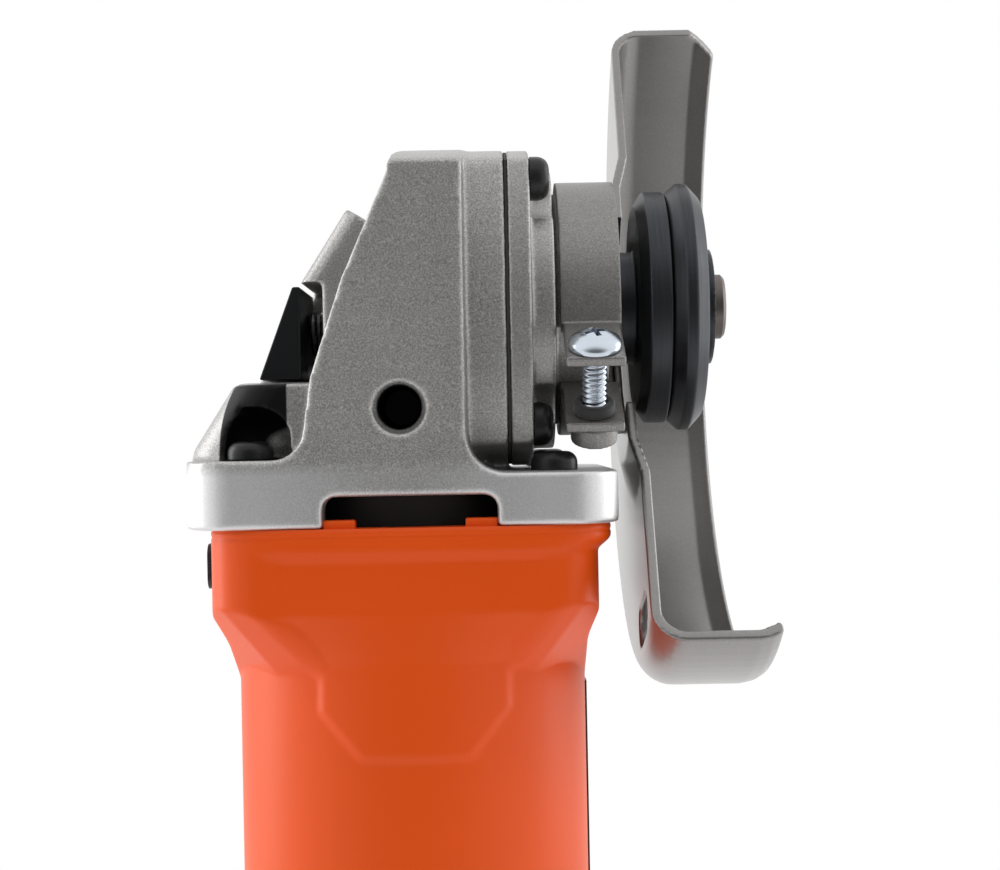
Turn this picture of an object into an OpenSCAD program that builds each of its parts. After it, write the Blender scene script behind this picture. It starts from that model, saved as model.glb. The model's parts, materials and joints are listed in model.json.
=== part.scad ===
// Slim corded angle grinder with a bevel gear head.
// +Z runs along the motor axis towards the gear head, +X along the wheel spindle.
// The origin is the centre of the cord inlet at the rear end.

/* [Overall] */
// Height of the wheel spindle's axis above the rear end
spindle_z = 245; // [225:1:300]
// Radius of the round grip
grip_r = 29.2; // [27.5:0.1:35]
// Length of the motor housing below the gear housing
motor_len = 114.8; // [112:0.1:140]
// Drop from the spindle axis to the joint between gear housing and motor housing
head_drop = 35.2; // [34:0.1:42]
// Wall of the plastic shells
shell_wall = 2.4; // [1.8:0.1:3]

/* [Gear housing] */
// Half the width of the gear housing's walls at the roof
wall_half = 26.6; // [26:0.1:29]
// Half width of the square head behind the bearing cover
head_half = 26.5; // [25:0.1:32]
// Reach of the square head's trimmed corners
head_corner_r = 31.6; // [31:0.1:38]
// Height of the roof above the spindle
roof_h = 26.6; // [26:0.1:33]
// How far the flange stands past the grip along the spindle
flange_over_x = 4.8; // [4:0.1:8]
// How far the flange stands past the grip on both sides
flange_over_y = 1.8; // [1:0.1:5]
// Thickness of the mounting flange
flange_t = 8.3; // [7:0.1:10]
// Corner radius of the mounting flange
flange_corner = 8; // [5:0.1:10]
// Half width of the sloping spine that carries the lock button
spine_half = 15; // [12.5:0.1:18]
// Lean of the spine away from the motor axis, in degrees
spine_lean = 32.7; // [30:0.1:35]
// Radius of the side handle's M8 hole
handle_hole_r = 3.4; // [3:0.1:4]
// Depth of the side handle's hole
handle_hole_depth = 11; // [8:0.1:11]
// Height of the exhaust windows
window_h = 4.9; // [3.5:0.1:6]
// Radius of the gear chamber
chamber_r = 22.5; // [21.2:0.1:23]

/* [Bearing cover] */
// Thickness of the cover's square plate
cover_t = 3.6; // [3:0.1:5]
// Position of the cover's inner face along the spindle
cover_x = 17.3; // [16.8:0.1:20]
// Thickness of the gasket under the cover
gasket_t = 0.4; // [0.3:0.1:0.8]
// Radius of the boss on the plate
boss_r = 23.6; // [22:0.1:24.5]
// Height of the boss on the plate
boss_t = 3.8; // [3:0.1:5]
// Outer radius of the neck that carries the guard
neck_r = 19.4; // [19:0.1:22]
// Length of the neck beyond the boss
neck_len = 8.8; // [8.5:0.1:12]
// Half spacing of the four cover screws
cover_screw_pitch = 19.6; // [19.2:0.1:20.4]

/* [Spindle and wheel fixing] */
// Radius of the spindle bearing's bore
bearing_bore_r = 7.5; // [6.8:0.1:8]
// Outer radius of the spindle bearing
bearing_outer_r = 17.5; // [16:0.1:17.6]
// Width of the spindle bearing
bearing_w = 11; // [9:0.1:11]
// Radius of the spindle's thread
thread_r = 7; // [6.5:0.05:7.5]
// Radius of the spindle's plain tip
tip_r = 5.47; // [4.5:0.01:6]
// End of the spindle along its axis
spindle_end = 54; // [53:0.1:60]
// Radius of the inner flange's rim
flange_r = 19.6; // [17:0.1:22]
// Width of the inner flange's rim
flange_w = 5; // [4.5:0.1:6]
// Radius of the lock nut
nut_r = 20.9; // [19:0.1:23]
// Thickness of the lock nut without its boss
nut_w = 5.9; // [5.5:0.1:8]
// Radius of the circle of spanner holes
spanner_pcr = 15; // [13:0.1:16]

/* [Wheel guard] */
// Outer radius of the guard's rim
guard_r = 63.8; // [53:0.1:77]
// Thickness of the guard's sheet
sheet_t = 1.6; // [1.2:0.1:2.5]
// Position of the guard's plate along the spindle
guard_x = 37.9; // [37.6:0.1:38.2]
// Width of the guard's rim from the plate
rim_w = 20; // [16:0.1:26]
// Angle that the guard covers, in degrees
guard_sweep = 184; // [150:1:200]
// Angle of the guard's lower end past straight down, in degrees
guard_start = -34.5; // [-45:0.5:-20]
// Step of the plate's hub towards the motor
hub_step = 1.6; // [1:0.1:1.8]
// Width of the clamp band
band_w = 9.7; // [8:0.1:10]
// Thickness of the clamp band
band_t = 2; // [1.5:0.1:2.5]
// Reach of the clamp ears from the spindle axis
ear_reach = 34; // [33:0.1:38]
// Angle of the clamp below the horizontal, in degrees
clamp_angle = 27; // [20:0.5:30]
// Gap between the clamp ears
ear_gap = 9.6; // [6:0.1:10]
// Radius of the clamp screw's shank
clamp_screw_r = 2; // [1.5:0.05:2.5]

/* [Bevel gears] */
// Number of teeth on the crown gear
gear_teeth = 37; // [31:1:41]
// Number of teeth on the pinion
pinion_teeth = 11; // [9:1:13]
// Pitch radius of the crown gear at its rim
gear_pitch_r = 20; // [18:0.1:20.2]
// Face width of the teeth along the pitch cone
tooth_face = 6.4; // [4:0.1:6.6]
// Share of the pitch that a tooth fills at the pitch line
tooth_fill = 0.38; // [0.3:0.01:0.42]

/* [Motor] */
// Radius of the armature core
armature_r = 14.6; // [12:0.1:15.5]
// Length of the armature core
armature_len = 38; // [32:1:44]
// Air gap between armature and stator
air_gap = 0.6; // [0.4:0.1:1]
// Radius of the armature shaft at the front bearing
shaft_r = 5; // [4:0.1:5.5]
// Radius of the armature shaft at the rear bearing
shaft_tail_r = 4; // [3:0.1:4.5]
// Outer radius of the front bearing
front_bearing_r = 13; // [12:0.1:14]
// Width of the front bearing
front_bearing_w = 8; // [7:0.1:8]
// Outer radius of the rear bearing
rear_bearing_r = 11; // [10:0.1:11.5]
// Width of the rear bearing
rear_bearing_w = 7; // [6:0.1:8]
// Outer radius of the fan
fan_r = 24; // [21:0.1:25]
// Number of fan blades
fan_blades = 14; // [8:1:20]
// Radius of the commutator
commutator_r = 10; // [8:0.1:11]

/* [Switch] */
// Length of the slide knob
knob_len = 30; // [22:0.5:36]
// Width of the slide knob
knob_w = 15; // [12:0.5:18]
// Travel of the slide knob
switch_travel = 8; // [5:0.5:9]

/* [Rear handle] */
// How much slimmer the handle's waist is than its ends
waist = 2.4; // [0:0.1:3]
// Radius of the cord inlet
inlet_r = 3.6; // [3:0.1:5]

/* [Hidden] */
$fn = 96;
eps = 0.01;
run_gap = 0.05;
part_gap = 0.3;
seat_gap = 0.05;

joint_z = spindle_z - head_drop;
flange_half_x = grip_r + flange_over_x;
flange_half_y = grip_r + flange_over_y;
handle_len = joint_z - motor_len;
collar_depth = 10.7;
flare_depth = 21.8;
cavity_r = grip_r - shell_wall;

head_x = cover_x - gasket_t;
plate_x = cover_x + cover_t;
neck_x = plate_x + boss_t;
neck_end = neck_x + neck_len;
bearing_x = cover_x - part_gap;
bearing_end = bearing_x + bearing_w;
retainer_w = 2.4;
retainer_x = bearing_x - retainer_w;
spigot_r = chamber_r + 1.9;
hub_face = neck_end + 1.7;
rim_x = hub_face + 3.5;
nut_x = rim_x + flange_w;
nut_end = nut_x + nut_w;
boss_end = nut_end + 2.1;

pinion_pitch_r = gear_pitch_r * pinion_teeth / gear_teeth;
cone_len = norm([gear_pitch_r, pinion_pitch_r]);
tooth_module = 2 * gear_pitch_r / gear_teeth;
inner_share = 1 - tooth_face / cone_len;
gear_back = 13;
gear_seat_r = 6.5;
collar_r = 9.8;
chamber_x = 4.2;

pin_r = 2.2;
pin_orbit = 11;
lock_travel = 3.5;
button_low = -11.5;
button_high = 3.7;
recess_x = -13;
button_back = recess_x - lock_travel - part_gap;
button_side = spine_half - 2.2;
button_t = 12;

bush_x = -11.5;
bush_end = -3.2;
bush_r = 7;

flange_top = -head_drop + flange_t;
left_top = flange_top + 2.4;
flange_screw_x = flange_half_x - 10;
flange_screw_y = flange_half_y - 9;
pocket_r = 5.2;
window_x = 1.4;
window_half = 13.5;
tab_w = 5;
tab_h = 1.3;
spine_top = 16.3;
block_half = flange_half_y - 8;
draft = atan((flange_half_y - wall_half) / (roof_h - flange_top));
roof_r = 82;
side_r = 66;
handle_hole_z = -16.6;
handle_mouth_y = flange_half_y - 1.6;

front_bearing_z = joint_z + 1.6;
pinion_back = -head_drop + 1.6 + front_bearing_w;
fan_z = joint_z - 16;
stator_top = joint_z - 32;
stator_len = armature_len + 2;
commutator_z = joint_z - 97;
commutator_len = 13;
rear_bearing_z = joint_z - 108;
spider_z = joint_z - motor_len + 4.6;

stator_flat = grip_r - 6.2;
rod_in = stator_flat + 0.4;
rod_out = rod_in + 1.8;
knob_z = joint_z - flare_depth - 1.2 - switch_travel - knob_len;
knob_in = grip_r + part_gap;
switch_z = handle_len - 37;
lever_z = switch_z + 22;

slot_r = 3.2;
slot_half = 5.6;
band_in = neck_r + run_gap;
band_out = band_in + band_t;
band_x = neck_x + 0.8;
band_end = band_x + band_w;
band_mid = band_x + band_w / 2;
clamp_orbit = ear_reach - 4;
ear_t = 1.6;
ear_half = 4.6;
lug_r = 3.7;
lug_t = 3.2;

balls_per_bearing = 8;

// Points of an arc about [cx, cy] from angle a0 to a1.
function arc(cx, cy, r, a0, a1, steps = 6) =
    [for (i = [0 : steps]) let (a = a0 + (a1 - a0) * i / steps) [cx + r * cos(a), cy + r * sin(a)]];

// Places children on the spindle: their +Z runs along the spindle and their +X points down.
module on_spindle(x = 0) {
    translate([x, 0, spindle_z]) rotate([0, 90, 0]) children();
}

// Places children at the spindle's height without turning them.
module at_head() {
    translate([0, 0, spindle_z]) children();
}

// A rod along the spindle from x0 to x1.
module spindle_rod(x0, x1, r) {
    on_spindle(x0) cylinder(h = x1 - x0, r = r);
}

// A cone along the spindle from x0 to x1.
module spindle_cone(x0, x1, r0, r1) {
    on_spindle(x0) cylinder(h = x1 - x0, r1 = r0, r2 = r1);
}

// A rod along the motor axis from z0 to z1.
module motor_rod(z0, z1, r) {
    translate([0, 0, z0]) cylinder(h = z1 - z0, r = r);
}

// A tube along the motor axis.
module motor_tube(z0, z1, r_out, r_in) {
    difference() {
        motor_rod(z0, z1, r_out);
        motor_rod(z0 - 1, z1 + 1, r_in);
    }
}

// A rectangle with round corners, centred on the origin.
module round_rect(w, d, r) {
    square([w - 2 * r, d], center = true);
    square([w, d - 2 * r], center = true);
    for (sx = [-1, 1], sy = [-1, 1])
        translate([sx * (w / 2 - r), sy * (d / 2 - r)]) circle(r);
}

// A block with round vertical edges, standing on z0.
module round_block(w, d, r, z0, z1) {
    translate([0, 0, z0]) linear_extrude(z1 - z0) round_rect(w, d, r);
}

// Repeats children at the four corners of a rectangle.
module four(px, py) {
    for (sx = [-1, 1], sy = [-1, 1]) translate([sx * px, sy * py, 0]) children();
}

// One ring of a ball bearing with its raceway, standing on z = 0.
module bearing_ring(r_in, r_out, w, pitch_r, ball_r) {
    difference() {
        cylinder(h = w, r = r_out);
        translate([0, 0, -1]) cylinder(h = w + 2, r = r_in);
        translate([0, 0, w / 2]) rotate_extrude() translate([pitch_r, 0]) circle(ball_r + run_gap);
    }
}

// The balls of a bearing, joined by a thin cage ring.
module bearing_balls(w, pitch_r, ball_r) {
    translate([0, 0, w / 2]) {
        for (i = [0 : balls_per_bearing - 1])
            rotate([0, 0, 360 * i / balls_per_bearing]) translate([pitch_r, 0, 0]) sphere(ball_r);
        translate([0, 0, -ball_r * 0.4]) difference() {
            cylinder(h = ball_r * 0.8, r = pitch_r + 0.5);
            translate([0, 0, -1]) cylinder(h = ball_r * 0.8 + 2, r = pitch_r - 0.5);
        }
    }
}

// Pan-head screw with its head's underside on z = 0 and its shank pointing down.
module pan_screw(head_r, head_h, shank_r, shank_len, slot = 1) {
    difference() {
        union() {
            rotate_extrude() polygon(concat(
                [[0, 0], [head_r, 0]],
                arc(head_r - head_h * 0.6, head_h * 0.4, head_h * 0.6, 0, 90, 5),
                [[0, head_h]]));
            translate([0, 0, -shank_len]) cylinder(h = shank_len + eps, r = shank_r);
        }
        translate([0, 0, head_h]) {
            cube([head_r * 1.1, slot, head_h * 0.9], center = true);
            cube([slot, head_r * 1.1, head_h * 0.9], center = true);
        }
    }
}

// ---- Gear housing ----

// Side view of the two walls that flank the gear chamber, in X and Z about the spindle axis.
module wall_outline() {
    edge_x = -14.8;
    right_x = 10.3;
    polygon(concat(
        [[edge_x - 5, flange_top - eps], [edge_x - 5, left_top]],
        arc(edge_x - 5, left_top + 5, 5, 270, 360, 6),
        [[-13.7, -11.7], [-8.8, 3.4], [-1.6, 20]],
        arc(3.2, roof_h - 4.6, 4.6, 155, 90, 6),
        [[right_x, roof_h], [right_x, flange_top + 6]],
        arc(right_x + 6, flange_top + 6, 6, 180, 270, 6),
        [[right_x + 6, flange_top - eps]]));
}

// The square head: four slightly bowed sides, with its corners trimmed by a circle.
module head_outline(half) {
    intersection() {
        translate([half - side_r, 0]) circle(side_r);
        translate([side_r - half, 0]) circle(side_r);
        translate([0, half - side_r]) circle(side_r);
        translate([0, side_r - half]) circle(side_r);
        circle(head_corner_r);
    }
}

// Everything behind a plane that rises from the flange's near edge and leans inward.
module drafted_side() {
    translate([-60, -flange_half_y, flange_top]) rotate([-draft, 0, 0]) translate([0, 0, -20])
        cube([120, 120, 120]);
}

// A block that leans with the spine: local z runs up the slope and local x points inward.
module leaning(half, corner, low, high) {
    translate([-flange_half_x - 0.8, 0, left_top + 0.6]) rotate([0, spine_lean, 0])
        translate([13, 0, 0]) round_block(26, 2 * half, corner, low, high);
}

module gear_housing_body() {
    // Mounting flange
    at_head() {
        round_block(2 * flange_half_x, 2 * flange_half_y, flange_corner, -head_drop, flange_top);
        intersection() {
            round_block(2 * flange_half_x, 2 * flange_half_y, flange_corner, flange_top - eps, left_top);
            translate([-flange_half_x - 1, -50, -50]) cube([flange_half_x - 13.8, 100, 100]);
        }
    }
    // Walls with the bowed roof
    intersection() {
        at_head() rotate([90, 0, 0]) linear_extrude(2 * flange_half_y, center = true) wall_outline();
        at_head() drafted_side();
        mirror([0, 1, 0]) at_head() drafted_side();
        on_spindle(-40) linear_extrude(80) translate([roof_r - roof_h, 0]) circle(roof_r);
    }
    // Square head behind the bearing cover
    on_spindle(2) linear_extrude(head_x - 2) head_outline(head_half);
    // Spine and the lower block that carries the lock button
    intersection() {
        at_head() {
            leaning(spine_half, 3, -6, 47.8);
            intersection() {
                leaning(block_half, 8, -6, 40);
                translate([-50, -50, flange_top - eps]) cube([100, 100, -12.4 - flange_top]);
            }
        }
        translate([-flange_half_x, -50, spindle_z + flange_top - eps])
            cube([flange_half_x, 100, spine_top - flange_top]);
    }
}

module gear_housing() color("#9d9a96") difference() {
    gear_housing_body();
    // Gear chamber and the bearing cover's spigot
    spindle_rod(chamber_x, head_x + 1, chamber_r);
    spindle_rod(chamber_x - 1.2, chamber_x + 1, gear_pitch_r * inner_share + 3.4);
    spindle_rod(retainer_x - part_gap, head_x + 1, spigot_r + run_gap);
    // Passage for the spindle's tail and its bush
    spindle_rod(bush_end, 5, 9.5);
    spindle_rod(bush_x, 5, bush_r);
    // Pinion passage, front bearing seat and its plate
    at_head() {
        motor_rod(pinion_back - 1, -9.8, 9);
        motor_rod(-head_drop + 1.6 - eps, pinion_back, front_bearing_r);
        motor_rod(-head_drop - 1, -head_drop + 1.6, 17);
        // Air chamber round the bearing seat
        difference() {
            motor_rod(-head_drop - 1, -head_drop + window_h, cavity_r + 0.6);
            motor_rod(-head_drop - 2, -head_drop + window_h + 1, 17.8);
        }
        // Exhaust windows on both sides
        translate([window_x, 0, -head_drop]) rotate([90, 0, 0])
            linear_extrude(2 * flange_half_y + 2, center = true) {
                translate([-window_half, -1]) square([2 * window_half, window_h - 1]);
                translate([2 - window_half, -1]) square([2 * window_half - 4, window_h + 1]);
                for (s = [-1, 1]) translate([s * (window_half - 2), window_h - 2]) circle(2);
            }
        // Lock button's recess, open on one side, and the lock pin's bore
        translate([-50, -spine_half - 1, button_low - 0.5])
            cube([50 + recess_x, spine_half + 10.5, button_high - button_low + 1]);
        translate([0, 0, -pin_orbit]) rotate([0, 90, 0])
            translate([0, 0, -20]) cylinder(h = 25, r = pin_r + run_gap);
        // Side handle holes, each in a flat spot
        for (s = [-1, 1]) translate([0, s * handle_mouth_y, handle_hole_z]) rotate([s * 90, 0, 0]) {
            translate([0, 0, -6]) cylinder(h = 6, r = handle_hole_r + 0.7);
            translate([0, 0, -1]) cylinder(h = handle_hole_depth + 1, r = handle_hole_r);
            translate([0, 0, -eps]) cylinder(h = 0.7, r1 = handle_hole_r + 0.6, r2 = handle_hole_r);
        }
        // Flange screws: holes, and access pockets in the lower block
        four(flange_screw_x, flange_screw_y)
            translate([0, 0, -head_drop - 1]) cylinder(h = 20, r = 2.1);
        for (s = [-1, 1]) translate([-flange_screw_x + 1.3, s * flange_screw_y, left_top]) {
            cylinder(h = 3, r = pocket_r);
            translate([0, 0, 3]) sphere(pocket_r);
        }
    }
    // Cover screw holes
    on_spindle(cover_x - 13) four(cover_screw_pitch, cover_screw_pitch) cylinder(h = 20, r = 2.05);
}

module gear_case_gasket() color("#3a3a38") difference() {
    on_spindle(head_x) linear_extrude(gasket_t) head_outline(head_half - 0.3);
    spindle_rod(head_x - 1, cover_x + 1, spigot_r + seat_gap);
    on_spindle(head_x - 1) four(cover_screw_pitch, cover_screw_pitch) cylinder(h = 4, r = 2.05);
}

module bearing_cover() color("#8f8c88") difference() {
    union() {
        spindle_rod(retainer_x, cover_x + eps, spigot_r);
        on_spindle(cover_x) linear_extrude(cover_t) head_outline(head_half - 0.1);
        difference() {
            spindle_rod(plate_x - eps, neck_x, boss_r);
            on_spindle(plate_x) four(cover_screw_pitch, cover_screw_pitch) cylinder(h = 10, r = 6.2);
        }
        spindle_rod(neck_x - eps, neck_end, neck_r);
    }
    spindle_rod(retainer_x - 1, bearing_end, bearing_outer_r);
    spindle_rod(bearing_end - 1, neck_end - 2, 14);
    spindle_rod(neck_end - 3, neck_end + 1, collar_r + 0.5);
    on_spindle(cover_x - 1) four(cover_screw_pitch, cover_screw_pitch) cylinder(h = 8, r = 2.05);
}

module cover_screws() color("#1c1c1e")
    on_spindle(plate_x) four(cover_screw_pitch, cover_screw_pitch) pan_screw(3.5, 3.2, 2, cover_t + 9);

module bearing_retainer() color("#55565a") difference() {
    spindle_rod(retainer_x, bearing_x, bearing_outer_r - 0.02);
    spindle_rod(retainer_x - 1, bearing_x + 1, bearing_outer_r - 3);
    for (a = [0, 180]) on_spindle(retainer_x) rotate([0, 0, a])
        translate([bearing_outer_r - 1.6, 0, -1]) cylinder(h = 2.2, r = 0.9);
}

// ---- Spindle ----

module spindle() color("#b9babd") {
    spindle_rod(bush_x + 0.5, 2.3, 4.5);
    difference() {
        spindle_rod(2.2, bearing_x + 1, gear_seat_r);
        difference() {
            spindle_rod(3.2, 4.2, gear_seat_r + 2);
            spindle_rod(3, 4.4, gear_seat_r - 0.7);
        }
    }
    spindle_rod(bearing_x, bearing_end + 1, bearing_bore_r);
    spindle_rod(bearing_end, neck_end + 0.6, collar_r);
    spindle_rod(neck_end + 0.5, rim_x - 0.5, 8);
    spindle_rod(rim_x - 1, boss_end - 0.5, thread_r - 0.1);
    spindle_rod(boss_end - 1, spindle_end - 0.5, tip_r);
    spindle_cone(spindle_end - 0.5 - eps, spindle_end, tip_r, tip_r - 0.5);
}

// A tooth gap as a wedge that narrows towards the gears' common apex.
// It lies along local +X, opens towards local -Z, and its root is at depth below the pitch cone.
module gap_wedge(pitch_r, rise, add, ded, top_half, root_half) {
    cone = atan2(pitch_r, rise);
    out = [sin(cone), cos(cone)];
    nrm = [cos(cone), -sin(cone)];
    mid = [pitch_r, rise];
    top = mid + nrm * add;
    bot = mid - nrm * ded;
    near = inner_share * 0.9;
    far = 1.12;
    pts = [for (k = [near, far]) each [
        [top[0] * k, -top_half * k, top[1] * k], [top[0] * k, top_half * k, top[1] * k],
        [bot[0] * k, root_half * k, bot[1] * k], [bot[0] * k, -root_half * k, bot[1] * k]]];
    polyhedron(pts, [[0, 1, 2, 3], [7, 6, 5, 4], [0, 4, 5, 1], [1, 5, 6, 2], [2, 6, 7, 3], [3, 7, 4, 0]]);
}

// A bevel gear blank with teeth, its apex at the origin and its axis along +Z.
// back is where its hub ends, bore its hole, hub_r the radius of its hub.
module bevel_gear(teeth, pitch_r, rise, back, bore, hub_r, turn) {
    cone = atan2(pitch_r, rise);
    add = tooth_module * 0.8;
    ded = tooth_module * 1.15;
    nrm = [cos(cone), -sin(cone)];
    tip_out = [pitch_r, rise] + nrm * add;
    tip_in = tip_out * inner_share;
    pitch_len = 2 * PI * pitch_r / teeth;
    gap_half = pitch_len * (1 - tooth_fill) / 2;
    slope = tan(22);
    difference() {
        rotate_extrude() polygon([
            [bore, tip_in[1] + (hub_r > tip_in[0] ? 0 : 1.2)], [tip_in[0], tip_in[1]],
            tip_out, [tip_out[0] + 0.15, tip_out[1] + 2.8], [hub_r, back - 2.6], [hub_r, back], [bore, back]]);
        for (i = [0 : teeth - 1]) rotate([0, 0, 360 * i / teeth + turn])
            gap_wedge(pitch_r, rise, add * 1.3, ded, gap_half + add * 1.3 * slope, gap_half - ded * slope);
    }
}

module crown_gear() color("#6c6d70") {
    on_spindle() difference() {
        union() {
            bevel_gear(gear_teeth, gear_pitch_r, pinion_pitch_r, gear_back, gear_seat_r, 13.2, 0);
            difference() {
                translate([0, 0, gear_back - 1]) cylinder(h = bearing_x - gear_back + 1, r = 9.6);
                cylinder(h = 30, r = gear_seat_r);
            }
        }
        cylinder(h = 4.3, r = 13);
        for (i = [0 : 7]) rotate([0, 0, 45 * i]) translate([pin_orbit, 0, 0])
            cylinder(h = gear_back - 2.5, r = pin_r + part_gap);
    }
}

module gear_circlip() color("#4b4c50") difference() {
    spindle_rod(3.2, 4.2, gear_seat_r + 1.7);
    spindle_rod(3, 4.4, gear_seat_r - 0.7);
    at_head() translate([3, -1.5, -gear_seat_r - 4]) cube([2, 3, 8]);
}

module spindle_bush() color("#b08d4f") difference() {
    spindle_rod(bush_x, bush_end, bush_r);
    spindle_rod(bush_x - 1, bush_end + 1, 4.5 + run_gap);
}

spindle_ball_r = (bearing_outer_r - bearing_bore_r) * 0.29;
spindle_pitch_r = (bearing_outer_r + bearing_bore_r) / 2;

module spindle_bearing_outer() color("#c6c7ca") on_spindle(bearing_x)
    bearing_ring(spindle_pitch_r + 2.1, bearing_outer_r, bearing_w, spindle_pitch_r, spindle_ball_r);

module spindle_bearing_inner() color("#c6c7ca") on_spindle(bearing_x)
    bearing_ring(bearing_bore_r, spindle_pitch_r - 2.1, bearing_w, spindle_pitch_r, spindle_ball_r);

module spindle_bearing_balls() color("#dddee0") on_spindle(bearing_x)
    bearing_balls(bearing_w, spindle_pitch_r, spindle_ball_r);

module spindle_seal() color("#565049") difference() {
    spindle_rod(bearing_end + 0.4, neck_end - 2, 14);
    spindle_rod(bearing_end, neck_end, collar_r + run_gap);
}

// ---- Wheel fixing ----

module inner_flange() color("#26262a") difference() {
    union() {
        spindle_rod(hub_face, rim_x + eps, 9.5);
        on_spindle(rim_x) rotate_extrude() polygon([
            [0, 0], [flange_r - 2.4, 0], [flange_r, 1.5], [flange_r, flange_w], [0, flange_w]]);
        spindle_rod(nut_x - eps, nut_x + 1.6, 11.1);
    }
    spindle_rod(hub_face - 1, nut_x + 2, 8 + run_gap);
}

module lock_nut() color("#232327") difference() {
    union() {
        on_spindle(nut_x) rotate_extrude() polygon([
            [0, 0], [nut_r - 2, 0], [nut_r, 2.2], [nut_r, nut_w - 2.1], [nut_r - 2.3, nut_w], [0, nut_w]]);
        spindle_rod(nut_end - eps, boss_end, 9.8);
    }
    spindle_rod(nut_x - 1, boss_end + 1, thread_r);
    spindle_rod(nut_x - 1, nut_x + 2.2, 11.4);
    on_spindle(nut_end - 4) for (i = [0 : 3]) rotate([0, 0, 45 + 90 * i])
        translate([spanner_pcr, 0, 0]) cylinder(h = 6, r = 2.5);
}

// ---- Wheel guard ----

// Section of the guard's sheet: radius along x, distance along the spindle along y.
module guard_section() {
    bend = 5.5;
    lip = 0.7;
    hub_x = guard_x - hub_step;
    hub_out = 26.6;
    step_out = 33.5;
    rim_end = guard_x + rim_w;
    polygon(concat(
        [[band_in, hub_x], [hub_out, hub_x], [step_out, guard_x]],
        arc(guard_r - bend, guard_x + bend, bend, 270, 360, 8),
        [[guard_r, rim_end - 3.6], [guard_r - lip * 0.6, rim_end - 1.6]],
        arc(guard_r - lip - 1.2, rim_end - 1, 1, 20, 90, 4),
        [[guard_r - lip - 2.3, rim_end - 0.5], [guard_r - lip - 1.7, rim_end - 1.6],
         [guard_r - sheet_t, rim_end - 3.8]],
        arc(guard_r - bend, guard_x + bend, bend - sheet_t, 360, 270, 8),
        [[step_out - 0.3, guard_x + sheet_t], [hub_out - 0.3, hub_x + sheet_t], [band_in, hub_x + sheet_t]]));
}

module wheel_guard() color("#77756f") difference() {
    on_spindle() rotate([0, 0, guard_start]) rotate_extrude(angle = guard_sweep) guard_section();
    // Slot near the lower end
    on_spindle(guard_x - 1) rotate([0, 0, guard_start + 15]) translate([54.5, 0, 0]) {
        translate([-slot_r, -slot_half, 0]) cube([2 * slot_r, 2 * slot_half, 5]);
        for (s = [-1, 1]) translate([0, s * slot_half, 0]) cylinder(h = 5, r = slot_r);
    }
    // Clipped corner at the upper end of the rim
    on_spindle(guard_x + rim_w) rotate([0, 0, guard_start + guard_sweep]) translate([guard_r - 4, 0, 0])
        rotate([45, 0, 0]) cube([20, 7, 7], center = true);
}

// Places children on the clamp: -Y runs out from the spindle, +Z along the clamp screw.
module at_clamp() {
    translate([band_mid, 0, spindle_z]) rotate([clamp_angle, 0, 0]) children();
}

module guard_band() color("#7d7b76") difference() {
    union() {
        difference() {
            on_spindle() rotate_extrude()
                translate([band_in, band_x]) square([band_t, guard_x - hub_step - band_x]);
            // Only the stretch under the guard reaches its sheet
            on_spindle(band_end) rotate([0, 0, 130]) rotate_extrude(angle = 220)
                translate([band_in - 1, 0]) square([band_t + 2, guard_x - band_end]);
            at_clamp() translate([-20, -30, -ear_gap / 2]) cube([40, 30, ear_gap]);
        }
        at_clamp() {
            // Upper ear
            translate([-ear_half, -ear_reach, ear_gap / 2])
                cube([2 * ear_half, ear_reach - band_in - 0.4, ear_t]);
            // Lower ear with its thicker lug
            translate([-ear_half, -ear_reach, -ear_gap / 2 - ear_t])
                cube([2 * ear_half, ear_reach - band_in - 0.4, ear_t]);
            translate([0, -clamp_orbit, -ear_gap / 2 - ear_t - lug_t]) cylinder(h = lug_t + ear_t / 2, r = lug_r);
        }
    }
    at_clamp() translate([0, -clamp_orbit, -15]) cylinder(h = 30, r = clamp_screw_r + run_gap);
}

module clamp_screw() color("#a9b2bd") at_clamp()
    translate([0, -clamp_orbit, ear_gap / 2 + ear_t + 0.04]) {
        pan_screw(4.2, 3, clamp_screw_r, ear_gap + 2 * ear_t + 4.2, 1.1);
    }

module clamp_ring() color("#151516") at_clamp()
    translate([0, -clamp_orbit, -ear_gap / 2 + 0.04]) rotate_extrude()
        polygon(concat(
            arc(clamp_screw_r + 0.5, 0.5, 0.5, 270, 180, 4),
            arc(clamp_screw_r + 0.5, 1.5, 0.5, 180, 90, 4),
            arc(clamp_screw_r + 0.8, 1.5, 0.5, 90, 0, 4),
            arc(clamp_screw_r + 0.8, 0.5, 0.5, 0, -90, 4)));

// ---- Spindle lock ----

module lock_button() color("#121315") at_head() intersection() {
    translate([button_back - button_t, -button_side, button_low])
        cube([button_t, button_side + 8.8, button_high - button_low]);
    translate([-flange_half_x - 0.8 + 0.7, 0, left_top + 0.6]) rotate([0, spine_lean - 12.2, 0])
        translate([5.35, -30, -20]) cube([60, 60, 80]);
}

module lock_pin() color("#8d8e92") at_head() translate([button_back, 0, -pin_orbit]) rotate([0, 90, 0])
    cylinder(h = 3.2 - button_back, r = pin_r);

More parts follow.
